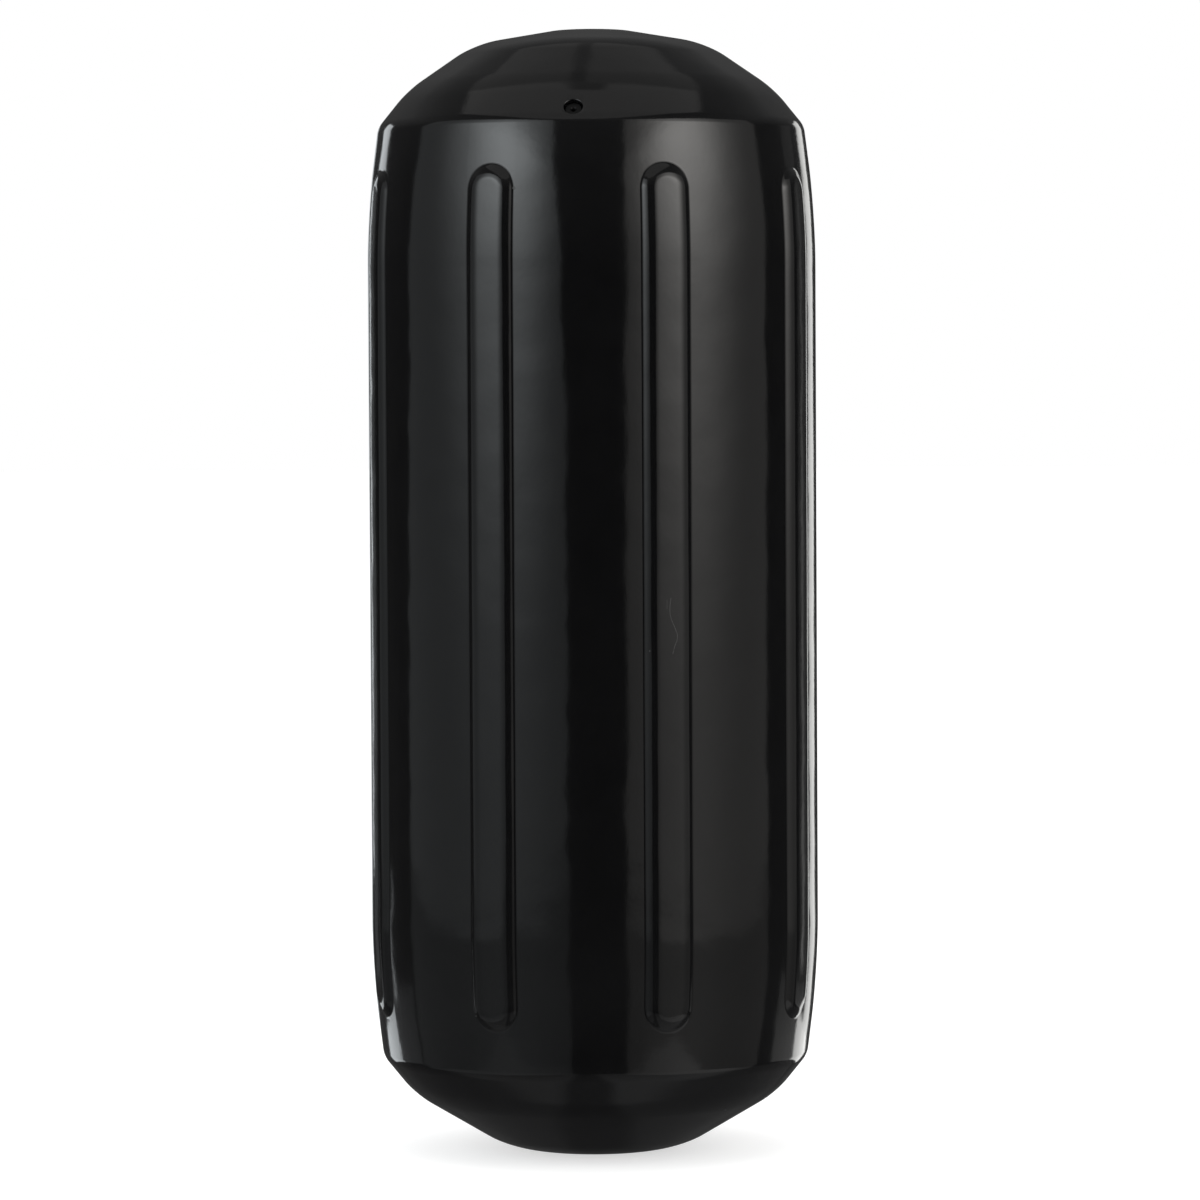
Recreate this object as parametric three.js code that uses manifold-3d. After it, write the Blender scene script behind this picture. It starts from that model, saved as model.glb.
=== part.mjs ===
// Inflatable boat fender with a rope tube through its middle.
// One blown vinyl moulding makes the wall, its raised ribs, both domed ends and the rope tube.
// A rubber needle valve plugs a moulded socket in the shoulder of the upper end.
// Millimetres, +Z up along the rope tube, the origin at the middle of the lower end face.
// The valve is at the front, which is -Y.
import * as THREE from 'three';
import { mergeVertices, toCreasedNormals } from 'three/addons/utils/BufferGeometryUtils.js';
import Module from 'manifold-3d';

const wasm = await Module();
wasm.setup();

// The moulding: 8 in across its plain wall and 20 in long.
const bodyDiameter = 203.2;
const bodyLength = 508;
const wall = 3;

// Each end has a flat rim round the rope hole, then three cones, each steeper than the last. Each
// edge between them lies so far in from the plain wall and so far below the end face, and an arc
// rounds it. The crown is narrower and flatter at the lower end. The wall flares from the crease to
// its full width.
const rimDiameter = 36;
const rimRound = 10;
const upperCrownEdgeInset = 48;
const upperCrownEdgeDepth = 6.4;
const lowerCrownEdgeInset = 60;
const lowerCrownEdgeDepth = 2;
const crownEdgeRound = 42;
const domeEdgeInset = 18.4;
const domeEdgeDepth = 26.8;
const domeEdgeRound = 45;
const creaseInset = 5;
const creaseDepth = 43.4;
const creaseRound = 9;
const flareDepth = 83;
const flareRound = 300;

// The rope tube, with a rounded mouth at each end.
const ropeBoreDiameter = 22;
const mouthRound = 2.5;
const tubeWall = 3.5;
const tubeFillet = 4;

// The raised ribs: a flat top, flanks that round over to the wall, and half-round ends.
const ribCount = 8;
const ribWidth = 22;
const ribFlatWidth = 8.6;
const ribHeight = 2.4;
const ribEndDepth = 64;

// The needle valve: a head in a recess, a stem in the socket and a bulb that holds it from inside.
const valveUpShoulder = 5.3;
const valveTurnDegrees = -1;
const valveRecess = 1.8;
const valveHeadDiameter = 7.6;
const valveHeadThickness = 1.5;
const valveStemDiameter = 4.6;
const valveBulbDiameter = 7;
const valveBulbLength = 3.5;
const valveTipDiameter = 3;
const needleHoleDiameter = 1.6;
const needleFunnelDepth = 0.7;
const valveClosedLength = 2.5;
const valveGap = 0.3;
const socketLength = 11;
const socketWall = 3;
const socketMouthRound = 0.6;

// How finely round forms are cut into flats: faces round each axis, and the most that an arc may
// stray from its chord. Edges sharper than the last angle are shaded as creases.
const bodyFacets = 56;
const airFacets = 32;
const valveFacets = 16;
const ribEndFacets = 6;
const ribFlankSteps = 4;
const airRibFlankSteps = 2;
const outsideArcError = 0.16;
const insideArcError = 0.5;
const shadedCreaseDegrees = 30;

const bodyRadius = bodyDiameter / 2;
const ropeBoreRadius = ropeBoreDiameter / 2;
const tubeRadius = ropeBoreRadius + tubeWall;

// A corner of an outline, with the radius of the arc that rounds it.
function corner(x, y, round = 0) {
  return { at: new THREE.Vector2(x, y), round };
}

// The closed outline through these corners, each rounded by a tangent arc. An arc is made smaller
// where its two sides are too short for it.
function roundedOutline(corners, arcError) {
  const neighbour = (i, step) => corners[(i + step + corners.length) % corners.length].at;
  const turns = corners.map(({ at }, i) => {
    const before = at.clone().sub(neighbour(i, -1)).normalize();
    const after = neighbour(i, 1).clone().sub(at).normalize();
    return { before, after, angle: Math.atan2(before.cross(after), before.dot(after)) };
  });
  const reaches = corners.map(({ round }, i) => round * Math.tan(Math.abs(turns[i].angle) / 2));
  const fit = (i, step) => {
    const needed = reaches[i] + reaches[(i + step + corners.length) % corners.length];
    return needed > 0 ? Math.min(1, corners[i].at.distanceTo(neighbour(i, step)) / needed) : 1;
  };
  return corners.flatMap(({ at, round }, i) => {
    if (round === 0) return [at];
    const { before, after, angle } = turns[i];
    const reach = reaches[i] * Math.min(fit(i, -1), fit(i, 1));
    const radius = reach / Math.tan(Math.abs(angle) / 2);
    const start = at.clone().addScaledVector(before, -reach);
    const side = Math.sign(angle);
    const centre = start.clone().add(new THREE.Vector2(-before.y, before.x).multiplyScalar(side * radius));
    const startAngle = start.clone().sub(centre).angle();
    const arc = new THREE.ArcCurve(centre.x, centre.y, radius, startAngle, startAngle + angle, angle < 0);
    const stepAngle = 2 * Math.acos(Math.max(0, 1 - arcError / radius));
    return arc.getPoints(Math.max(2, Math.ceil(Math.abs(angle) / stepAngle)));
  });
}

// The moulding's corners from the lower end up to the upper one, moved in by a wall's thickness.
// The arcs stay concentric.
function skinCorners(inset) {
  const end = (crownEdgeInset, crownEdgeDepth) => [
    { radius: 0, depth: 0, round: 0 },
    { radius: rimDiameter / 2, depth: 0, round: rimRound },
    { radius: bodyRadius - crownEdgeInset, depth: crownEdgeDepth, round: crownEdgeRound },
    { radius: bodyRadius - domeEdgeInset, depth: domeEdgeDepth, round: domeEdgeRound },
    { radius: bodyRadius - creaseInset, depth: creaseDepth, round: creaseRound },
    { radius: bodyRadius, depth: flareDepth, round: flareRound },
  ];
  const lower = end(lowerCrownEdgeInset, lowerCrownEdgeDepth)
    .map(({ radius, depth, round }) => corner(radius, depth, round));
  const upper = end(upperCrownEdgeInset, upperCrownEdgeDepth)
    .map(({ radius, depth, round }) => corner(radius, bodyLength - depth, round));
  const whole = [...lower, ...upper.reverse()];
  const inward = (from, to) => {
    const along = to.at.clone().sub(from.at).normalize();
    return new THREE.Vector2(-along.y, along.x);
  };
  return whole.slice(1, -1).map((here, i) => {
    const below = inward(whole[i], here);
    const above = inward(here, whole[i + 2]);
    const shift = below.clone().add(above).multiplyScalar(inset / (1 + below.dot(above)));
    const moved = here.at.clone().add(shift);
    return corner(moved.x, moved.y, Math.max(here.round - inset, 0));
  });
}

// A solid turned round +Z from a closed outline of radius and height.
function turned(outline, facets) {
  const geometry = new THREE.LatheGeometry([...outline, outline[0]], facets);
  return geometry.rotateX(Math.PI / 2);
}

// The form whose surface lies this far in from the outside, with its own hole round the rope tube.
function revolvedForm(inset, holeRadius, holeRound, facets, arcError) {
  const outline = roundedOutline(
    [
      corner(holeRadius, bodyLength - inset, holeRound),
      corner(holeRadius, inset, holeRound),
      ...skinCorners(inset),
    ],
    arcError,
  );
  return { outline, geometry: turned(outline, facets) };
}

// The plain wall's outside radius at a height.
function wallRadiusAt(height, outline) {
  const above = outline.findIndex((point, i) => i > 0 && point.y > height && outline[i - 1].y <= height);
  const top = outline[above];
  const bottom = outline[above - 1];
  return THREE.MathUtils.mapLinear(height, bottom.y, top.y, bottom.x, top.x);
}

// One ring of a rib: a line with half-round ends, so far across and so high on the wall.
function ribRing(halfWidth, lift, outline) {
  const centreEnd = ribEndDepth + ribWidth / 2;
  const quarter = Array.from({ length: ribEndFacets / 2 + 1 }, (_, i) => (i * Math.PI) / ribEndFacets);
  const lowerEnd = quarter.map((a) => [halfWidth * Math.sin(a), centreEnd - halfWidth * Math.cos(a)]);
  const upperEnd = lowerEnd.map(([across, height]) => [across, bodyLength - height]).reverse();
  const side = outline
    .filter((point) => point.x > bodyRadius / 2 && point.y > centreEnd && point.y < bodyLength - centreEnd)
    .map((point) => [halfWidth, point.y]);
  const right = [...lowerEnd, ...side, ...upperEnd];
  const left = right.slice(1, -1).map(([across, height]) => [-across, height]).reverse();
  return [...right, ...left].map(([across, height]) => {
    const radius = wallRadiusAt(height, outline) + lift;
    const turn = across / bodyRadius;
    return new THREE.Vector3(radius * Math.sin(turn), -radius * Math.cos(turn), height);
  });
}

// A closed skin over a stack of rings. Its two ends are closed by rungs across the ring.
function lofted(rings) {
  const count = rings[0].length;
  const last = (rings.length - 1) * count;
  const faces = [];
  const quad = (a, b, c, d) => faces.push([a, b, c], [a, c, d]);
  for (let start = 0; start < last; start += count) {
    for (let i = 0; i < count; i++) {
      const next = (i + 1) % count;
      quad(start + i, start + next, start + count + next, start + count + i);
    }
  }
  for (let i = 0; i < count / 2; i++) {
    const mirrored = (count - i) % count;
    quad(i, mirrored, count - i - 1, i + 1);
    quad(last + i, last + i + 1, last + count - i - 1, last + mirrored);
  }
  const geometry = new THREE.BufferGeometry().setFromPoints(rings.flat());
  geometry.setIndex(faces.filter(([a, b, c]) => a !== b && b !== c && c !== a).flat());
  return geometry;
}

// The rib's solid, moved in from the outside by this much. Each flank is an arc that runs on into
// the wall, and the base is sunk below it, so that the rib joins the wall all round.
function ribGeometry(inset, flankSteps, outline) {
  const flank = (ribWidth - ribFlatWidth) / 2;
  const flankRound = (flank ** 2 + ribHeight ** 2) / (2 * ribHeight);
  const arcRadius = Math.max(flankRound - inset, insideArcError);
  const section = Array.from({ length: flankSteps + 1 }, (_, i) => {
    const angle = (1 - i / flankSteps) * (Math.PI / 2);
    const drop = arcRadius * (1 - Math.cos(angle));
    return [ribFlatWidth / 2 + arcRadius * Math.sin(angle), ribHeight - inset - drop];
  });
  const [baseHalfWidth, arcFoot] = section[0];
  const base = [baseHalfWidth, Math.min(arcFoot, -inset) - wall / 2];
  return lofted([base, ...section].map(([halfWidth, lift]) => ribRing(halfWidth, lift, outline)));
}

// A closed geometry as a solid that can be joined and cut.
function solid(geometry) {
  const bare = geometry.clone();
  bare.deleteAttribute('normal');
  bare.deleteAttribute('uv');
  const merged = mergeVertices(bare);
  return new wasm.Manifold(new wasm.Mesh({
    numProp: 3,
    vertProperties: new Float32Array(merged.attributes.position.array),
    triVerts: new Uint32Array(merged.index.array),
  }));
}

// A solid's surface as a geometry again, shaded smooth between its creases.
function surface(manifold) {
  const mesh = manifold.getMesh();
  const geometry = new THREE.BufferGeometry();
  geometry.setAttribute('position', new THREE.BufferAttribute(mesh.vertProperties, 3));
  geometry.setIndex(new THREE.BufferAttribute(mesh.triVerts, 1));
  return toCreasedNormals(geometry, THREE.MathUtils.degToRad(shadedCreaseDegrees));
}

// A revolved form with its ribs. The valve lies midway between two of them.
function ribbedForm(form, inset, flankSteps, outline) {
  const rib = ribGeometry(inset, flankSteps, outline);
  let whole = solid(form);
  for (let i = 0; i < ribCount; i++) {
    whole = whole.add(solid(rib.clone().rotateZ(((i + 0.5) * 2 * Math.PI) / ribCount)));
  }
  return whole;
}

// The valve's seat: a frame on the upper shoulder whose +Z points straight out of the wall.
function valveSeat() {
  const corners = skinCorners(0);
  const crease = corners[corners.length - 4].at;
  const domeEdge = corners[corners.length - 3].at;
  const upShoulder = domeEdge.clone().sub(crease).normalize();
  const point = crease.clone().addScaledVector(upShoulder, valveUpShoulder);
  const turn = new THREE.Group();
  turn.rotation.z = THREE.MathUtils.degToRad(valveTurnDegrees);
  const seat = new THREE.Group();
  seat.position.set(0, -point.x, point.y);
  seat.rotation.x = Math.atan2(upShoulder.y, -upShoulder.x);
  turn.add(seat);
  turn.updateMatrixWorld(true);
  return { turn, seat };
}

// The hole that the valve fills, from its recess in the wall to the socket's inner end.
function socketHole() {
  const headRadius = valveHeadDiameter / 2 + valveGap;
  const stemRadius = valveStemDiameter / 2 + valveGap;
  const ledge = -(valveRecess + valveHeadThickness + valveGap);
  return roundedOutline(
    [
      corner(0, -socketLength - wall),
      corner(stemRadius, -socketLength - wall),
      corner(stemRadius, ledge),
      corner(headRadius, ledge),
      corner(headRadius, 0, socketMouthRound),
      corner(headRadius + wall, 0),
      corner(headRadius + wall, wall),
      corner(0, wall),
    ],
    outsideArcError,
  );
}

// The moulded socket round the stem, from inside the wall to its inner end.
function socketSleeve() {
  const radius = valveStemDiameter / 2 + valveGap + socketWall;
  return [
    new THREE.Vector2(0, -socketLength),
    new THREE.Vector2(radius, -socketLength),
    new THREE.Vector2(radius, -wall / 2),
    new THREE.Vector2(0, -wall / 2),
  ];
}

// The rubber valve, with a funnel and a blind hole for the inflating needle.
function valveOutline() {
  const face = -valveRecess;
  const underHead = face - valveHeadThickness;
  const bulbTop = -socketLength - valveGap;
  const tip = bulbTop - valveBulbLength;
  const needleRadius = needleHoleDiameter / 2;
  return [
    new THREE.Vector2(0, tip),
    new THREE.Vector2(valveTipDiameter / 2, tip),
    new THREE.Vector2(valveBulbDiameter / 2, bulbTop),
    new THREE.Vector2(valveStemDiameter / 2, bulbTop),
    new THREE.Vector2(valveStemDiameter / 2, underHead),
    new THREE.Vector2(valveHeadDiameter / 2, underHead),
    new THREE.Vector2(valveHeadDiameter / 2, face),
    new THREE.Vector2(needleRadius + needleFunnelDepth, face),
    new THREE.Vector2(needleRadius, face - needleFunnelDepth),
    new THREE.Vector2(needleRadius, tip + valveClosedLength),
    new THREE.Vector2(0, tip + valveClosedLength),
  ];
}

const vinyl = new THREE.MeshStandardMaterial({ color: 0x0d0d0f, roughness: 0.18, metalness: 0 });
const valveRubber = new THREE.MeshStandardMaterial({ color: 0x1b1b1d, roughness: 0.5, metalness: 0 });

const { turn: valveTurn, seat: valvePlace } = valveSeat();
const placedAtSeat = (outline) => turned(outline, valveFacets).applyMatrix4(valvePlace.matrixWorld);

const outside = revolvedForm(0, ropeBoreRadius, mouthRound, bodyFacets, outsideArcError);
const airSpace = revolvedForm(wall, tubeRadius, tubeFillet, airFacets, insideArcError);

const body = ribbedForm(outside.geometry, 0, ribFlankSteps, outside.outline)
  .subtract(ribbedForm(airSpace.geometry, wall, airRibFlankSteps, outside.outline))
  .add(solid(placedAtSeat(socketSleeve())))
  .subtract(solid(placedAtSeat(socketHole())));

const fenderBody = new THREE.Mesh(surface(body), vinyl);
fenderBody.name = 'fender_body';

const needleValve = new THREE.Mesh(turned(valveOutline(), valveFacets), valveRubber);
needleValve.name = 'needle_valve';
valvePlace.add(needleValve);

const fender = new THREE.Group();
fender.add(fenderBody, valveTurn);

export default fender;
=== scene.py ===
import math

import bmesh
import bpy
from mathutils import Matrix, Vector


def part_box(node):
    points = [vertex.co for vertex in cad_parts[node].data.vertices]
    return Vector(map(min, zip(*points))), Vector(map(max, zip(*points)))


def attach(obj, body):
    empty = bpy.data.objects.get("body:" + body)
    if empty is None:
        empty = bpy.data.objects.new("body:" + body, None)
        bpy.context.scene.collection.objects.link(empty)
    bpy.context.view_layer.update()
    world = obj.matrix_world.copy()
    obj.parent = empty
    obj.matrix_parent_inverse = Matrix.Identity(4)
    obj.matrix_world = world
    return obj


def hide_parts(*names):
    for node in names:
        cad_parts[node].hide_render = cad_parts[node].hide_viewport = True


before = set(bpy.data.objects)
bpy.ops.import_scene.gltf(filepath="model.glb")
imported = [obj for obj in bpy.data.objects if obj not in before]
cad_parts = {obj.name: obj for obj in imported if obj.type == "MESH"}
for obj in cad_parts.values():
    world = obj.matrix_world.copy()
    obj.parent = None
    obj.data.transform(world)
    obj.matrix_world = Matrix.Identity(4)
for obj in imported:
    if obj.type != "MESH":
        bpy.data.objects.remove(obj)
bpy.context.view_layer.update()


# The moulding is one blown piece of black vinyl: the wall, both domed ends and the rope tube.
# Its outline is a short chain of straight lines. Each corner is rounded by a bevel, and the chain
# is then spun round the rope tube's axis, one rib's share at a time.
body_low, body_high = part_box("fender_body")
length = body_high.z - body_low.z
wall_radius = body_high.x
rope_bore_radius = 0.011
rim_radius = 0.018

rib_count = 8
rib_share = 2 * math.pi / rib_count
rib_half_width = 0.0110
rib_half_flat = 0.0043
rib_height = 0.0024
rib_end_depth = 0.064
rib_foot_fillet = 0.0005

# Each corner of an end: radius, depth below the end face, bevel reach and bevel segments. The
# crown, inside the shoulder, is narrower and flatter at the lower end.
dome_edge = (wall_radius - 0.0184, 0.0268, 0.0073, 9)
crease = (wall_radius - 0.0050, 0.0434, 0.0026, 6)
shoulder = [dome_edge, crease, (wall_radius, 0.0830, 0.0225, 64)]
mouth = (rope_bore_radius, 0.0, 0.0025, 7)
lower_crown = [mouth, (rim_radius, 0.0, 0.0004, 3), (wall_radius - 0.0600, 0.0020, 0.0097, 10)]
upper_crown = [mouth, (rim_radius, 0.0, 0.0009, 3), (wall_radius - 0.0480, 0.0064, 0.0091, 10)]
wall_rows = 14

moulding = bmesh.new()
lower_end = lower_crown + shoulder
upper_end = [(radius, length - depth, reach, rows) for radius, depth, reach, rows in upper_crown + shoulder]
outline = lower_end + upper_end[::-1]
chain = [moulding.verts.new((0.0, -radius, height)) for radius, height, reach, rows in outline]
chain_edges = [moulding.edges.new((chain[i - 1], chain[i])) for i in range(len(chain))]
plain_wall = chain_edges[len(lower_end)]
bmesh.ops.subdivide_edges(moulding, edges=[plain_wall], cuts=wall_rows)


# Rounds the corner of a flat chain of edges that lies at this radius and height.
def round_corner(chain, radius, height, reach, rows):
    corner = Vector((0.0, -radius, height))
    vert = min(chain.verts, key=lambda each: (each.co - corner).length)
    bmesh.ops.bevel(
        chain, geom=[vert], offset=reach, offset_type="OFFSET", segments=rows,
        profile=0.5, affect="VERTICES", material=-1,
    )


for radius, height, reach, rows in outline:
    round_corner(moulding, radius, height, reach, rows)

# Columns are closest together where a rib's foot will be, and wide apart between the ribs.
foot_reach = math.radians(1.3)
flank_reach = math.radians(3.3)
flat_reach = math.radians(4.6)
plain_reach = (rib_share - flat_reach) / 2 - flank_reach - foot_reach
one_side = [(plain_reach, 7), (foot_reach, 6), (flank_reach, 8)]
column_zones = one_side + [(flat_reach, 7)] + one_side[::-1]
front = moulding.verts[:] + moulding.edges[:]
for angle, columns in column_zones:
    swept = bmesh.ops.spin(
        moulding, geom=front, cent=(0, 0, 0), axis=(0, 0, 1), dvec=(0, 0, 0), angle=angle, steps=columns,
    )
    front = swept["geom_last"]
bmesh.ops.spin(
    moulding, geom=moulding.verts[:] + moulding.edges[:] + moulding.faces[:], cent=(0, 0, 0), axis=(0, 0, 1),
    dvec=(0, 0, 0), angle=2 * math.pi - rib_share, steps=rib_count - 1, use_duplicate=True,
)
bmesh.ops.remove_doubles(moulding, verts=moulding.verts[:], dist=1e-5)


# The ribs are raised in the same skin: a flat top, flanks that round over to the wall, half-round
# ends and a small fillet at the foot. Each vertex of the wall is lifted by its distance from the
# middle line of the nearest rib.
def rib_lift(distance):
    flank = rib_half_width - rib_half_flat
    flank_radius = (flank**2 + rib_height**2) / (2 * rib_height)
    over = min(max(distance - rib_half_flat, 0.0), flank_radius)
    crown = rib_height - flank_radius + math.sqrt(flank_radius**2 - over**2)
    blend = max(rib_foot_fillet - abs(crown), 0.0)
    return max(crown, 0.0) + blend**2 / (4 * rib_foot_fillet)


rib_middle_line = length / 2 - rib_end_depth - rib_half_width
for vert in moulding.verts:
    reach_out = math.hypot(vert.co.x, vert.co.y)
    if reach_out < wall_radius / 2:
        continue
    turn = math.atan2(vert.co.x, -vert.co.y) % rib_share - rib_share / 2
    beyond = max(abs(vert.co.z - length / 2) - rib_middle_line, 0.0)
    lift = rib_lift(math.hypot(turn * wall_radius, beyond))
    vert.co.x *= 1 + lift / reach_out
    vert.co.y *= 1 + lift / reach_out
bmesh.ops.recalc_face_normals(moulding, faces=moulding.faces[:])

skin_mesh = bpy.data.meshes.new("fender_moulding")
moulding.to_mesh(skin_mesh)
moulding.free()
skin = bpy.data.objects.new("fender_moulding", skin_mesh)
bpy.context.scene.collection.objects.link(skin)


# The valve's socket is moulded into the shoulder of the upper end, midway between two ribs. Its
# mouth is a round recess with a softened lip. A turned cutter on the shoulder's own axis sinks it.
crease_out, crease_down = crease[:2]
dome_out, dome_down = dome_edge[:2]
shoulder_slope = math.atan2(crease_down - dome_down, crease_out - dome_out)
valve_up_shoulder = 0.0053
valve_turn = math.radians(-1.0)
valve_head_radius = 0.0038
valve_recess = 0.0018
valve_gap = 0.0003
socket_depth = 0.011
socket_lip = 0.0006
valve_out = crease_out - valve_up_shoulder * math.cos(shoulder_slope)
valve_height = length - crease_down + valve_up_shoulder * math.sin(shoulder_slope)
seat = (
    Matrix.Rotation(valve_turn, 4, "Z")
    @ Matrix.Translation((0.0, -valve_out, valve_height))
    @ Matrix.Rotation(shoulder_slope, 4, "X")
)

cutter = bmesh.new()
socket_radius = valve_head_radius + valve_gap
socket_outline = [
    (0.0, -socket_depth), (socket_radius, -socket_depth), (socket_radius, 0.0),
    (3 * socket_radius, 0.0), (3 * socket_radius, 0.004), (0.0, 0.004),
]
points = [cutter.verts.new((0.0, -radius, height)) for radius, height in socket_outline]
for low, high in zip(points, points[1:]):
    cutter.edges.new((low, high))
round_corner(cutter, socket_radius, 0.0, socket_lip, 5)
bmesh.ops.spin(
    cutter, geom=cutter.verts[:] + cutter.edges[:], cent=(0, 0, 0), axis=(0, 0, 1), dvec=(0, 0, 0),
    angle=2 * math.pi, steps=48, use_merge=True,
)
bmesh.ops.remove_doubles(cutter, verts=cutter.verts[:], dist=1e-6)
bmesh.ops.recalc_face_normals(cutter, faces=cutter.faces[:])
bmesh.ops.transform(cutter, matrix=seat, verts=cutter.verts[:])
cutter_mesh = bpy.data.meshes.new("socket_cutter")
cutter.to_mesh(cutter_mesh)
cutter.free()
socket_cutter = bpy.data.objects.new("socket_cutter", cutter_mesh)
bpy.context.scene.collection.objects.link(socket_cutter)
sink = skin.modifiers.new("valve_socket", "BOOLEAN")
sink.operation = "DIFFERENCE"
sink.solver = "EXACT"
sink.object = socket_cutter
sunk_mesh = bpy.data.meshes.new_from_object(skin.evaluated_get(bpy.context.evaluated_depsgraph_get()))
skin.modifiers.clear()
skin.data = sunk_mesh
bpy.data.objects.remove(socket_cutter)
sunk_mesh.shade_smooth()
sunk_mesh.set_sharp_from_angle(angle=math.radians(40))


# Vinyl and rubber both have a fine mottle. This group turns noise into a skin's colour, roughness and
# grain. Each material gives it two shades, two roughnesses and the sizes of its noise.
mottle = bpy.data.node_groups.new("mottle", "ShaderNodeTree")
for name, kind in [
    ("Place", "NodeSocketVector"), ("Mottle scale", "NodeSocketFloat"), ("Grain scale", "NodeSocketFloat"),
    ("Dark", "NodeSocketColor"), ("Light", "NodeSocketColor"),
    ("Least roughness", "NodeSocketFloat"), ("Most roughness", "NodeSocketFloat"),
]:
    mottle.interface.new_socket(name, in_out="INPUT", socket_type=kind)
for name, kind in [
    ("Color", "NodeSocketColor"), ("Roughness", "NodeSocketFloat"), ("Grain", "NodeSocketFloat"),
]:
    mottle.interface.new_socket(name, in_out="OUTPUT", socket_type=kind)
given = mottle.nodes.new("NodeGroupInput")
result = mottle.nodes.new("NodeGroupOutput")
patches = mottle.nodes.new("ShaderNodeTexNoise")
patches.inputs["Detail"].default_value = 8.0
patches.inputs["Roughness"].default_value = 0.65
grain = mottle.nodes.new("ShaderNodeTexNoise")
grain.inputs["Detail"].default_value = 3.0
shades = mottle.nodes.new("ShaderNodeMix")
shades.data_type = "RGBA"
gloss = mottle.nodes.new("ShaderNodeMapRange")
mottle.links.new(given.outputs["Place"], patches.inputs["Vector"])
mottle.links.new(given.outputs["Place"], grain.inputs["Vector"])
mottle.links.new(given.outputs["Mottle scale"], patches.inputs["Scale"])
mottle.links.new(given.outputs["Grain scale"], grain.inputs["Scale"])
mottle.links.new(given.outputs["Dark"], shades.inputs["A"])
mottle.links.new(given.outputs["Light"], shades.inputs["B"])
mottle.links.new(given.outputs["Least roughness"], gloss.inputs["To Min"])
mottle.links.new(given.outputs["Most roughness"], gloss.inputs["To Max"])
mottle.links.new(patches.outputs["Fac"], shades.inputs["Factor"])
mottle.links.new(patches.outputs["Fac"], gloss.inputs["Value"])
mottle.links.new(shades.outputs["Result"], result.inputs["Color"])
mottle.links.new(gloss.outputs["Result"], result.inputs["Roughness"])
mottle.links.new(grain.outputs["Fac"], result.inputs["Grain"])


# One maths node. A number is set on its socket, and anything else is linked to it.
def maths(tree, operation, first, second, third=None):
    node = tree.nodes.new("ShaderNodeMath")
    node.operation = operation
    for socket, value in zip(node.inputs, (first, second, third)):
        if isinstance(value, (int, float)):
            socket.default_value = value
        elif value is not None:
            tree.links.new(value, socket)
    return node.outputs["Value"]


# Rises from 0 to 1 between two values, gently at both ends.
def soft_step(tree, value, low, high):
    node = tree.nodes.new("ShaderNodeMapRange")
    node.interpolation_type = "SMOOTHSTEP"
    node.inputs["From Min"].default_value = low
    node.inputs["From Max"].default_value = high
    tree.links.new(value, node.inputs["Value"])
    return node.outputs["Result"]


# Looks a grey up along a value that runs from low to high. Shades holds places from 0 to 1 and greys.
def grey_along(tree, value, low, high, shades):
    place = tree.nodes.new("ShaderNodeMapRange")
    place.inputs["From Min"].default_value = low
    place.inputs["From Max"].default_value = high
    ramp = tree.nodes.new("ShaderNodeValToRGB")
    tree.links.new(value, place.inputs["Value"])
    tree.links.new(place.outputs["Result"], ramp.inputs["Fac"])
    elements = ramp.color_ramp.elements
    elements[0].position, elements[1].position = shades[0][0], shades[-1][0]
    for position, shade in shades[1:-1]:
        elements.new(position)
    for element, (position, shade) in zip(elements, shades):
        element.color = (shade, shade, shade, 1.0)
    return ramp.outputs["Color"]


# The vinyl is glossy and almost black. Blown skins are never quite true, so long shallow waves bend
# the reflections, with a faint pebble over them.
vinyl = bpy.data.materials.new("black_vinyl")
vinyl.use_nodes = True
nodes, links = vinyl.node_tree.nodes, vinyl.node_tree.links
vinyl_shader = nodes["Principled BSDF"]
vinyl_shader.inputs["IOR"].default_value = 1.52
place = nodes.new("ShaderNodeTexCoord")
skin_mottle = nodes.new("ShaderNodeGroup")
skin_mottle.node_tree = mottle
skin_mottle.inputs["Mottle scale"].default_value = 60.0
skin_mottle.inputs["Grain scale"].default_value = 420.0
skin_mottle.inputs["Dark"].default_value = (0.0004, 0.0004, 0.0005, 1.0)
skin_mottle.inputs["Light"].default_value = (0.0015, 0.0015, 0.0016, 1.0)
skin_mottle.inputs["Least roughness"].default_value = 0.06
skin_mottle.inputs["Most roughness"].default_value = 0.13
links.new(place.outputs["Object"], skin_mottle.inputs["Place"])

# Handling has left a hairline scratch down the right-hand rib, a short fainter one beside it and a
# few pale specks. The scratch wanders, so a curve gives its place across at each height.
where = nodes.new("ShaderNodeSeparateXYZ")
links.new(place.outputs["Object"], where.inputs["Vector"])
scratch_low, scratch_high = 0.229, 0.255
scratch_left, scratch_right = 0.038, 0.044
wander = nodes.new("ShaderNodeFloatCurve")
turns = wander.mapping.curves[0].points
turns[0].location, turns[1].location = (0.03, 0.46), (0.97, 0.36)
for spot in [(0.16, 0.61), (0.33, 0.81), (0.42, 0.71), (0.55, 0.49), (0.64, 0.35), (0.74, 0.28)]:
    turns.new(*spot)
wander.mapping.update()
tree = vinyl.node_tree
up_scratch = maths(tree, "SUBTRACT", where.outputs["Z"], scratch_low)
links.new(maths(tree, "DIVIDE", up_scratch, scratch_high - scratch_low), wander.inputs["Value"])
scratch_at = maths(tree, "MULTIPLY_ADD", wander.outputs["Value"], scratch_right - scratch_left, scratch_left)
scratch_middle, scratch_half_length, scratch_half_width = 0.2421, 0.0122, 0.00013
scratch_ends = maths(tree, "COMPARE", where.outputs["Z"], scratch_middle, scratch_half_length)
scratch = maths(tree, "COMPARE", where.outputs["X"], scratch_at, scratch_half_width)
scratch = maths(tree, "MULTIPLY", scratch, scratch_ends)
short_across, short_middle, short_half_length, short_half_width = 0.03844, 0.2515, 0.002, 0.00008
short_strength = 0.6
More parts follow.
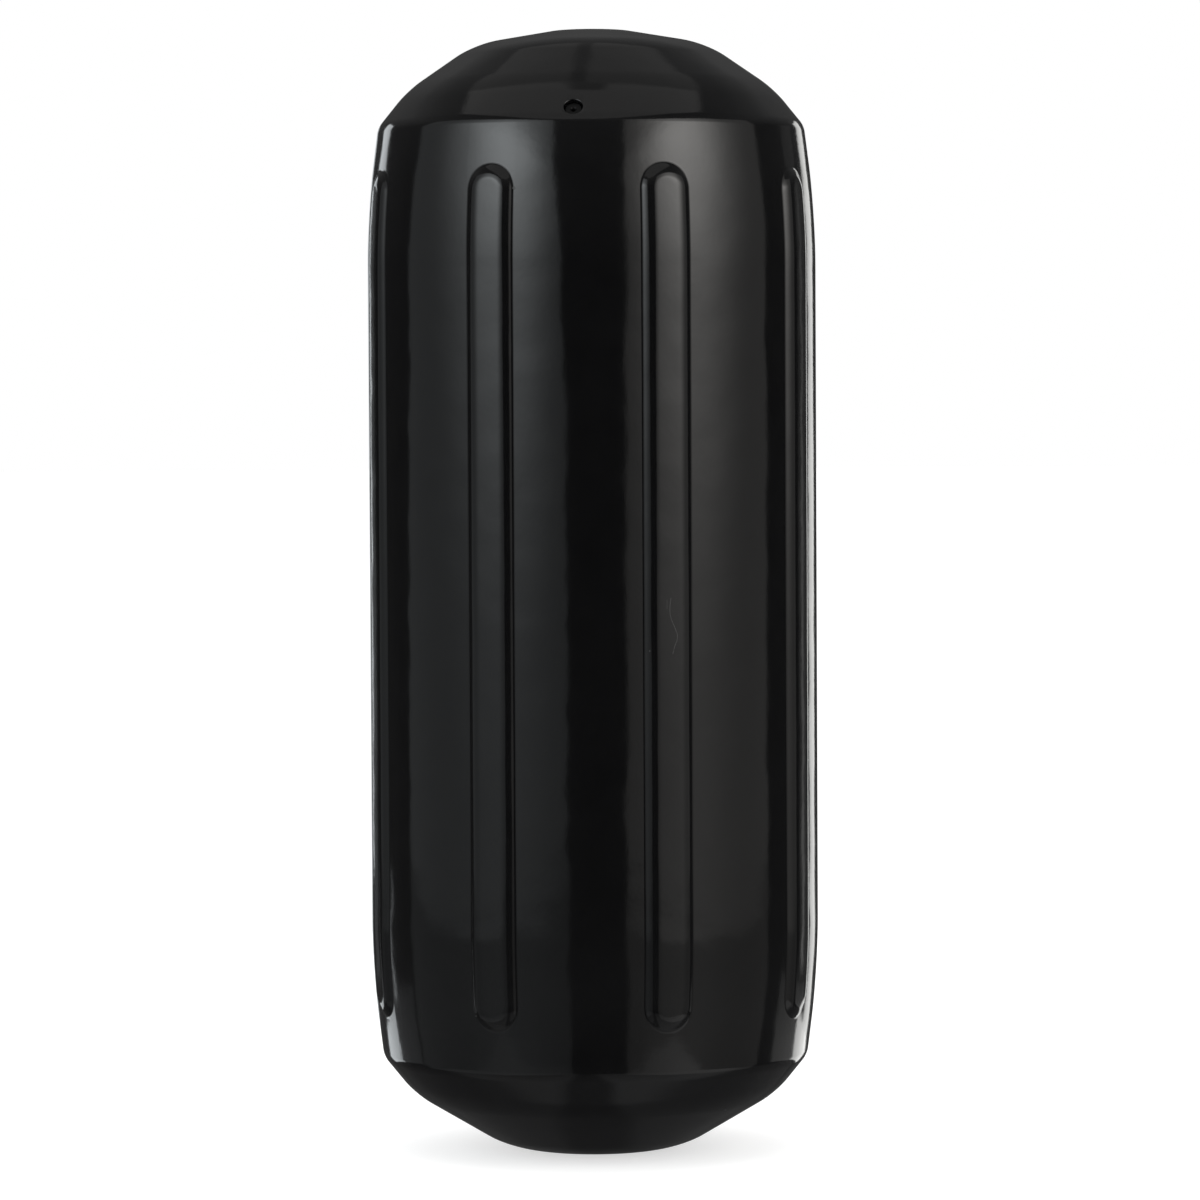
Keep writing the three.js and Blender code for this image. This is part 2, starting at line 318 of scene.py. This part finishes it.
short_ends = maths(tree, "COMPARE", where.outputs["Z"], short_middle, short_half_length)
short_scratch = maths(tree, "COMPARE", where.outputs["X"], short_across, short_half_width)
short_scratch = maths(tree, "MULTIPLY", short_scratch, short_ends)
marks = maths(tree, "MULTIPLY_ADD", short_scratch, short_strength, scratch)
marks = maths(tree, "MULTIPLY", marks, maths(tree, "LESS_THAN", where.outputs["Y"], 0.0))
for spot, size in [
    ((-0.0275, -0.0964, 0.4333), 0.0007), ((0.0309, -0.0982, 0.2313), 0.0003),
    ((-0.0470, -0.0883, 0.0703), 0.0004), ((0.0609, -0.0488, 0.0238), 0.0004),
]:
    away = nodes.new("ShaderNodeVectorMath")
    away.operation = "DISTANCE"
    away.inputs[1].default_value = spot
    links.new(place.outputs["Object"], away.inputs[0])
    marks = maths(tree, "MAXIMUM", marks, maths(tree, "LESS_THAN", away.outputs["Value"], size))
cells = nodes.new("ShaderNodeTexVoronoi")
cells.inputs["Scale"].default_value = 300.0
links.new(place.outputs["Object"], cells.inputs["Vector"])
chance = nodes.new("ShaderNodeSeparateColor")
links.new(cells.outputs["Color"], chance.inputs["Color"])
dust_size, dust_rarity, dust_strength = 0.05, 0.93, 0.4
dust = maths(tree, "LESS_THAN", cells.outputs["Distance"], dust_size)
dust = maths(tree, "MULTIPLY", dust, maths(tree, "GREATER_THAN", chance.outputs["Red"], dust_rarity))
marks = maths(tree, "MAXIMUM", marks, maths(tree, "MULTIPLY", dust, dust_strength))
marked_colour = nodes.new("ShaderNodeMix")
marked_colour.data_type = "RGBA"
marked_colour.inputs["B"].default_value = (0.022, 0.022, 0.022, 1.0)
links.new(marks, marked_colour.inputs["Factor"])
links.new(skin_mottle.outputs["Color"], marked_colour.inputs["A"])
links.new(marked_colour.outputs["Result"], vinyl_shader.inputs["Base Color"])
mark_roughness = 0.4
marked_gloss = maths(tree, "MULTIPLY_ADD", marks, mark_roughness, skin_mottle.outputs["Roughness"])
links.new(marked_gloss, vinyl_shader.inputs["Roughness"])

waves = nodes.new("ShaderNodeTexNoise")
waves.inputs["Scale"].default_value = 14.0
waves.inputs["Detail"].default_value = 1.0
links.new(place.outputs["Object"], waves.inputs["Vector"])
wave_bump = nodes.new("ShaderNodeBump")
wave_bump.inputs["Strength"].default_value = 1.0
wave_bump.inputs["Distance"].default_value = 0.0006
links.new(waves.outputs["Fac"], wave_bump.inputs["Height"])
ripples = nodes.new("ShaderNodeTexNoise")
ripples.inputs["Scale"].default_value = 42.0
ripples.inputs["Detail"].default_value = 1.0
links.new(place.outputs["Object"], ripples.inputs["Vector"])
ripple_bump = nodes.new("ShaderNodeBump")
ripple_bump.inputs["Strength"].default_value = 1.0
ripple_bump.inputs["Distance"].default_value = 0.0003
links.new(ripples.outputs["Fac"], ripple_bump.inputs["Height"])
links.new(wave_bump.outputs["Normal"], ripple_bump.inputs["Normal"])
pebble_bump = nodes.new("ShaderNodeBump")
pebble_bump.inputs["Strength"].default_value = 1.0
pebble_bump.inputs["Distance"].default_value = 0.00002
links.new(skin_mottle.outputs["Grain"], pebble_bump.inputs["Height"])
links.new(ripple_bump.outputs["Normal"], pebble_bump.inputs["Normal"])
links.new(pebble_bump.outputs["Normal"], vinyl_shader.inputs["Normal"])
sunk_mesh.materials.clear()
sunk_mesh.materials.append(vinyl)

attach(skin, "root")
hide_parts("fender_body")


# The needle valve is a plug of black rubber pushed into the socket. Its head sits a little below
# the wall, with a funnel that leads the inflating needle into a fine hole.
valve_head_thickness = 0.0015
valve_stem_radius = 0.0023
valve_bulb_radius = 0.0035
valve_length = 0.0148
needle_radius = 0.0008
funnel = 0.0007
plug = bmesh.new()
plug_outline = [
    (0.0, -0.0125, 0.0, 1), (needle_radius, -0.0125, 0.0001, 1),
    (needle_radius, -valve_recess - funnel, 0.0002, 2),
    (needle_radius + funnel, -valve_recess, 0.0003, 3),
    (valve_head_radius, -valve_recess, 0.0005, 5),
    (valve_head_radius, -valve_recess - valve_head_thickness, 0.0002, 2),
    (valve_stem_radius, -valve_recess - valve_head_thickness, 0.0002, 2),
    (valve_stem_radius, -socket_depth - valve_gap, 0.0002, 2),
    (valve_bulb_radius, -socket_depth - valve_gap, 0.0004, 3),
    (0.0015, -valve_length, 0.0004, 3), (0.0, -valve_length, 0.0, 1),
]
points = [plug.verts.new((0.0, -radius, height)) for radius, height, reach, rows in plug_outline]
for low, high in zip(points, points[1:]):
    plug.edges.new((low, high))
for radius, height, reach, rows in plug_outline[1:-1]:
    round_corner(plug, radius, height, reach, rows)
bmesh.ops.spin(
    plug, geom=plug.verts[:] + plug.edges[:], cent=(0, 0, 0), axis=(0, 0, 1), dvec=(0, 0, 0),
    angle=2 * math.pi, steps=64, use_merge=True,
)
bmesh.ops.remove_doubles(plug, verts=plug.verts[:], dist=1e-6)
bmesh.ops.recalc_face_normals(plug, faces=plug.faces[:])
bmesh.ops.transform(plug, matrix=seat, verts=plug.verts[:])
plug_mesh = bpy.data.meshes.new("valve_plug")
plug.to_mesh(plug_mesh)
plug.free()
plug_mesh.shade_smooth()
plug_mesh.set_sharp_from_angle(angle=math.radians(50))
valve_plug = bpy.data.objects.new("valve_plug", plug_mesh)
bpy.context.scene.collection.objects.link(valve_plug)

rubber = bpy.data.materials.new("valve_rubber")
rubber.use_nodes = True
nodes, links = rubber.node_tree.nodes, rubber.node_tree.links
rubber_shader = nodes["Principled BSDF"]
rubber_shader.inputs["IOR"].default_value = 1.5
rubber_shader.inputs["Specular IOR Level"].default_value = 0.14
place = nodes.new("ShaderNodeTexCoord")
rubber_mottle = nodes.new("ShaderNodeGroup")
rubber_mottle.node_tree = mottle
rubber_mottle.inputs["Mottle scale"].default_value = 900.0
rubber_mottle.inputs["Grain scale"].default_value = 1800.0
rubber_mottle.inputs["Dark"].default_value = (0.0015, 0.0015, 0.0016, 1.0)
rubber_mottle.inputs["Light"].default_value = (0.004, 0.004, 0.004, 1.0)
rubber_mottle.inputs["Least roughness"].default_value = 0.25
rubber_mottle.inputs["Most roughness"].default_value = 0.45
links.new(place.outputs["Object"], rubber_mottle.inputs["Place"])
links.new(rubber_mottle.outputs["Color"], rubber_shader.inputs["Base Color"])
links.new(rubber_mottle.outputs["Roughness"], rubber_shader.inputs["Roughness"])
rubber_bump = nodes.new("ShaderNodeBump")
rubber_bump.inputs["Strength"].default_value = 0.6
rubber_bump.inputs["Distance"].default_value = 0.00003
links.new(rubber_mottle.outputs["Grain"], rubber_bump.inputs["Height"])
links.new(rubber_bump.outputs["Normal"], rubber_shader.inputs["Normal"])
plug_mesh.materials.append(rubber)

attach(valve_plug, "root")
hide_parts("needle_valve")


# The fender stands on a plain white floor that runs out to a white surround. The floor is kept out
# of the fender's reflections, so that its lower end stays as dark as it is on a stand.
floor_mesh = bpy.data.meshes.new("floor")
floor_shape = bmesh.new()
bmesh.ops.create_circle(floor_shape, cap_ends=True, radius=30.0, segments=96)
floor_shape.to_mesh(floor_mesh)
floor_shape.free()
floor = bpy.data.objects.new("floor", floor_mesh)
bpy.context.scene.collection.objects.link(floor)
floor.visible_glossy = False
floor.visible_shadow = False
paper = bpy.data.materials.new("white_floor")
paper.use_nodes = True
nodes, links = paper.node_tree.nodes, paper.node_tree.links
paper_shader = nodes["Principled BSDF"]
paper_shader.inputs["Base Color"].default_value = (0.55, 0.55, 0.55, 1.0)
paper_shader.inputs["Roughness"].default_value = 0.9
paper_shader.inputs["Emission Color"].default_value = (1.0, 1.0, 1.0, 1.0)
paper_shader.inputs["Emission Strength"].default_value = 0.62
floor_mesh.materials.append(paper)

# The surround is white to the camera and to the floor. In reflections it is almost black, and a
# little lighter towards the ceiling and the floor.
world = bpy.data.worlds.new("white_surround")
bpy.context.scene.world = world
world.use_nodes = True
nodes, links = world.node_tree.nodes, world.node_tree.links
surround = nodes["Background"]
surround.inputs["Strength"].default_value = 1.0
seen = nodes.new("ShaderNodeLightPath")
surround_shade = nodes.new("ShaderNodeMix")
surround_shade.data_type = "RGBA"
surround_shade.inputs["A"].default_value = (1.0, 1.0, 1.0, 1.0)
sky_place = nodes.new("ShaderNodeTexCoord")
sky_way = nodes.new("ShaderNodeSeparateXYZ")
links.new(sky_place.outputs["Generated"], sky_way.inputs["Vector"])
ceiling = grey_along(world.node_tree, sky_way.outputs["Z"], -0.6, 0.8, [
    (0.0, 0.036), (0.14, 0.04), (0.25, 0.075), (0.33, 0.055),
    (0.43, 0.036), (0.61, 0.08), (0.79, 0.16), (1.0, 0.12),
])
links.new(ceiling, surround_shade.inputs["B"])
links.new(seen.outputs["Is Glossy Ray"], surround_shade.inputs["Factor"])
links.new(surround_shade.outputs["Result"], surround.inputs["Color"])


# Every panel of light is a flat rectangle that faces the rope tube's axis, and its nodes say how
# bright each place on it is. On an upright panel local X runs with the azimuth, and Y runs up.
def light_panel(name, place, facing, width, height, colour):
    lamp = bpy.data.lights.new(name, "AREA")
    lamp.shape = "RECTANGLE"
    lamp.size = width
    lamp.size_y = height
    lamp.energy = math.pi * width * height
    lamp.color = colour
    lamp.use_nodes = True
    holder = bpy.data.objects.new(name, lamp)
    bpy.context.scene.collection.objects.link(holder)
    holder.location = place
    holder.rotation_euler = facing.to_track_quat("Z", "Y").to_euler()
    holder.visible_camera = False
    return lamp.node_tree


# The panel's own coordinates in metres from its middle.
def panel_place(tree, width, height):
    face = tree.nodes.new("ShaderNodeNewGeometry")
    centred = tree.nodes.new("ShaderNodeMapping")
    centred.vector_type = "POINT"
    centred.inputs["Location"].default_value = (-width / 2, -height / 2, 0.0)
    centred.inputs["Scale"].default_value = (width, height, 1.0)
    split = tree.nodes.new("ShaderNodeSeparateXYZ")
    tree.links.new(face.outputs["Parametric"], centred.inputs["Vector"])
    tree.links.new(centred.outputs["Vector"], split.inputs["Vector"])
    return split.outputs["X"], split.outputs["Y"]


# Two tall softboxes stand at the front, one on each side, and leave a dark gap between them. Each
# glows evenly but for a bright lobe, where its lamp is, that fades towards the floor. It narrows
# towards its top, and below its rounded lower corners there is only the dim glow of the studio.
def softbox(name, azimuth, width, narrows, colour, lobe_middle, lobe_width, glow, lobe_low, dim, dim_lobe):
    bottom, top = -0.7, 1.1
    height = top - bottom
    turn = math.radians(azimuth)
    out = Vector((math.sin(turn), -math.cos(turn), 0.0))
    middle = out + Vector((0.0, 0.0, (bottom + top) / 2))
    tree = light_panel(name, middle, out, width, height, colour)
    across, up = panel_place(tree, width, height)
    above_floor = maths(tree, "ADD", up, (bottom + top) / 2)
    off_lobe = maths(tree, "DIVIDE", maths(tree, "SUBTRACT", across, lobe_middle), lobe_width)
    lobe = maths(tree, "POWER", 0.5, maths(tree, "MULTIPLY", off_lobe, off_lobe))
    corner_across, corner_up, edge_softness = 0.6, 0.05, 0.008
    lobe_high = 3.8
    narrows_above, side_fade = 0.25, 0.07
    past = maths(tree, "SUBTRACT", maths(tree, "ABSOLUTE", across, 0.0), width / 2 - corner_across)
    past = maths(tree, "DIVIDE", maths(tree, "MAXIMUM", past, 0.0), corner_across)
    inside = maths(tree, "MAXIMUM", maths(tree, "SUBTRACT", 1.0, maths(tree, "MULTIPLY", past, past)), 0.0)
    lift = maths(tree, "MULTIPLY", maths(tree, "SUBTRACT", 1.0, maths(tree, "SQRT", inside, 0.0)), corner_up)
    above_corner = maths(tree, "SUBTRACT", above_floor, lift)
    lit = soft_step(tree, above_corner, -edge_softness, edge_softness)
    fade = grey_along(tree, above_floor, 0.0, 1.0, [
        (0.0, 0.02), (0.09, 0.025), (0.155, 0.04), (0.217, 0.068), (0.28, 0.127), (0.34, 0.205), (0.40, 0.30),
        (0.45, 0.42), (0.52, 0.54), (0.70, 0.9), (0.76, 1.0), (0.82, 0.62), (0.88, 0.4), (1.0, 0.3),
    ])
    lobe_glow = maths(tree, "MULTIPLY_ADD", fade, lobe_high, lobe_low)
    bright = maths(tree, "MULTIPLY_ADD", lobe, lobe_glow, glow)
    low = maths(tree, "MULTIPLY_ADD", lobe, dim_lobe, dim)
    into_top = maths(tree, "MAXIMUM", maths(tree, "SUBTRACT", above_floor, narrows_above), 0.0)
    drawn_in = maths(tree, "MULTIPLY", into_top, narrows)
    from_side = maths(tree, "SUBTRACT", width / 2, maths(tree, "ABSOLUTE", across, 0.0))
    sides = soft_step(tree, maths(tree, "SUBTRACT", from_side, drawn_in), 0.0, side_fade)
    bright = maths(tree, "MULTIPLY", bright, sides)
    low = maths(tree, "MULTIPLY", low, sides)
    bright_part = maths(tree, "MULTIPLY", bright, lit)
    low_part = maths(tree, "MULTIPLY", low, maths(tree, "SUBTRACT", 1.0, lit))
    tree.links.new(maths(tree, "ADD", bright_part, low_part), tree.nodes["Emission"].inputs["Strength"])


softbox("softbox_left", -55.5, 2.17, 0.33, (0.93, 0.98, 1.0), 0.27, 0.335, 0.25, 0.06, 0.115, 0.08)
softbox("softbox_right", 60.1, 1.77, 0.05, (1.0, 0.98, 0.95), -0.17, 0.32, 0.285, 0.17, 0.15, 0.13)


# Narrow strips of light stand behind, on both sides. They draw the bright lines down the fender's
# edges, and the low ones light the flare of its lower end.
def edge_strip(name, azimuth, spread, bottom, top, low_glow, high_glow, colour):
    distance = 1.2
    turn = math.radians(azimuth)
    out = Vector((math.sin(turn), -math.cos(turn), 0.0))
    beside = Vector((math.copysign(0.097, azimuth), -0.03, (bottom + top) / 2))
    width, height = 2 * distance * math.tan(math.radians(spread) / 2), top - bottom
    tree = light_panel(name, beside + out * distance, out, width, height, colour)
    across, up = panel_place(tree, width, height)
    glow = tree.nodes.new("ShaderNodeMapRange")
    glow.inputs["From Min"].default_value = -height / 2
    glow.inputs["From Max"].default_value = height / 2
    glow.inputs["To Min"].default_value = low_glow
    glow.inputs["To Max"].default_value = high_glow
    tree.links.new(up, glow.inputs["Value"])
    tree.links.new(glow.outputs["Result"], tree.nodes["Emission"].inputs["Strength"])


cool, warm = (0.92, 0.97, 1.0), (1.0, 1.0, 0.98)
edge_strip("left_top", -140.5, 12.0, 0.565, 0.82, 1.9, 1.9, cool)
edge_strip("left_line", -144.8, 3.0, 0.02, 0.565, 1.6, 2.2, cool)
edge_strip("left_glow", -140.0, 6.0, -0.10, 0.75, 0.12, 0.12, cool)
edge_strip("left_outline", -169.0, 10.0, -0.10, 0.60, 0.7, 0.7, cool)
edge_strip("left_low_line", -124.5, 1.6, -0.15, 0.02, 1.5, 0.4, cool)
edge_strip("left_low", -137.0, 18.0, -0.36, -0.16, 2.0, 1.9, cool)
edge_strip("left_low_glow", -116.0, 20.0, -0.36, -0.14, 0.14, 0.10, cool)
edge_strip("right_edge", 156.4, 11.5, -0.16, 0.78, 1.9, 1.8, warm)
edge_strip("right_line", 133.0, 2.5, -0.10, 0.60, 0.6, 0.08, warm)
edge_strip("right_glow", 134.0, 12.0, -0.10, 0.75, 0.07, 0.06, warm)
edge_strip("right_low", 151.4, 23.4, -0.36, -0.16, 2.2, 2.3, warm)
edge_strip("right_low_glow", 127.0, 23.0, -0.36, -0.12, 0.32, 0.14, warm)

# The dim light from below, which the stand throws back at the lower end. It is brightest in front,
# but for the stand's own shadow in the middle.
below_size = 2.4
shadow_across, shadow_narrow, shadow_wide, shadow_strength = 0.02, 0.05, 0.12, 0.68
brighter_right = 0.5
tree = light_panel(
    "from_below", Vector((0.0, 0.0, -0.5)), Vector((0.0, 0.0, -1.0)), below_size, below_size, (1.0, 1.0, 1.0),
)
across, rearward = panel_place(tree, below_size, below_size)
under = grey_along(tree, rearward, -1.2, 0.8, [
    (0.0, 0.10), (0.3, 0.19), (0.5, 0.23), (0.56, 0.18),
    (0.6, 0.08), (0.65, 0.055), (0.75, 0.04), (1.0, 0.036),
])
from_shadow = maths(tree, "ABSOLUTE", maths(tree, "SUBTRACT", across, shadow_across), 0.0)
off_shadow = soft_step(tree, from_shadow, shadow_narrow, shadow_wide)
shadow = maths(tree, "MULTIPLY_ADD", off_shadow, shadow_strength, 1.0 - shadow_strength)
aside = maths(tree, "MULTIPLY_ADD", across, -brighter_right, 1.0)
under = maths(tree, "MULTIPLY", under, maths(tree, "MULTIPLY", shadow, aside))
tree.links.new(under, tree.nodes["Emission"].inputs["Strength"])

# One softbox hangs overhead. It is round at the back and reaches far out to the front. Its front half
# is brighter than its back half, and its bar makes a dark line across the back, with a hub.
overhead_width, overhead_depth = 2.0, 3.3
overhead_radius, overhead_fade, overhead_across = 0.84, 0.06, 0.08
front_shortening = 0.45
front_glow, back_glow = 0.29, 0.12
border_curve, border_front, border_back = 0.67, -0.03, 0.05
overhead_bar, bar_narrow, bar_wide, bar_strength = 0.07, 0.018, 0.055, 0.75
hub_across, hub_narrow, hub_wide = 0.02, 0.07, 0.13
hub_forward, hub_shallow, hub_deep = 0.07, 0.06, 0.12
tree = light_panel(
    "overhead", Vector((0.0, 0.0, length + 1.0)), Vector((0.0, 0.0, 1.0)), overhead_width, overhead_depth,
    (1.0, 0.99, 0.97),
)
across, forward = panel_place(tree, overhead_width, overhead_depth)
rearward = maths(tree, "MULTIPLY", forward, -1.0)
sideways = maths(tree, "SUBTRACT", across, overhead_across)
shortened = maths(tree, "MINIMUM", forward, maths(tree, "MULTIPLY", forward, front_shortening))
round_edge = maths(tree, "MULTIPLY_ADD", sideways, sideways, maths(tree, "MULTIPLY", shortened, shortened))
inside_edge = maths(tree, "MULTIPLY", round_edge, -1.0)
disc = soft_step(tree, inside_edge, -overhead_radius**2, -((overhead_radius - overhead_fade) ** 2))
past_middle = maths(tree, "MULTIPLY_ADD", maths(tree, "MULTIPLY", across, across), -border_curve, rearward)
rear = soft_step(tree, past_middle, border_front, border_back)
from_bar = maths(tree, "ABSOLUTE", maths(tree, "SUBTRACT", across, overhead_bar), 0.0)
beside_bar = soft_step(tree, from_bar, bar_narrow, bar_wide)
bar = maths(tree, "MULTIPLY", rear, maths(tree, "SUBTRACT", 1.0, beside_bar))
from_hub = maths(tree, "ABSOLUTE", maths(tree, "SUBTRACT", across, hub_across), 0.0)
hub = maths(tree, "SUBTRACT", 1.0, soft_step(tree, from_hub, hub_narrow, hub_wide))
along_hub = maths(tree, "ABSOLUTE", maths(tree, "ADD", past_middle, hub_forward), 0.0)
off_hub = soft_step(tree, along_hub, hub_shallow, hub_deep)
hub = maths(tree, "MULTIPLY", hub, maths(tree, "SUBTRACT", 1.0, off_hub))
bar = maths(tree, "MAXIMUM", bar, hub)
shade = maths(tree, "MULTIPLY_ADD", rear, back_glow - front_glow, front_glow)
shade = maths(tree, "MULTIPLY", shade, maths(tree, "MULTIPLY_ADD", bar, -bar_strength, 1.0))
tree.links.new(maths(tree, "MULTIPLY", shade, disc), tree.nodes["Emission"].inputs["Strength"])


# The camera stands well back and a little above the fender's middle, turned a few degrees to the
# valve's right, as in the photograph.
camera_azimuth = math.radians(3.65)
camera_pitch = math.radians(2.05)
camera_roll = math.radians(0.30)
camera_distance = 2.34
aim_right = 0.0030
aim_down = 0.0039
lens = bpy.data.cameras.new("camera")
lens.sensor_width = 36.0
lens.lens = 154.2
lens.clip_start = 0.05
camera = bpy.data.objects.new("camera", lens)
bpy.context.scene.collection.objects.link(camera)
away = Vector((
    math.sin(camera_azimuth) * math.cos(camera_pitch),
    -math.cos(camera_azimuth) * math.cos(camera_pitch),
    math.sin(camera_pitch),
))
sight = away.to_track_quat("Z", "Y").to_matrix()
right, up = sight.col[0], sight.col[1]
target = Vector((0.0, 0.0, length / 2)) + right * aim_right - up * aim_down
turned = Matrix.Rotation(-camera_roll, 3, away) @ sight
camera.matrix_world = Matrix.Translation(target + away * camera_distance) @ turned.to_4x4()
bpy.context.scene.camera = camera
bpy.context.scene.view_settings.view_transform = "Standard"
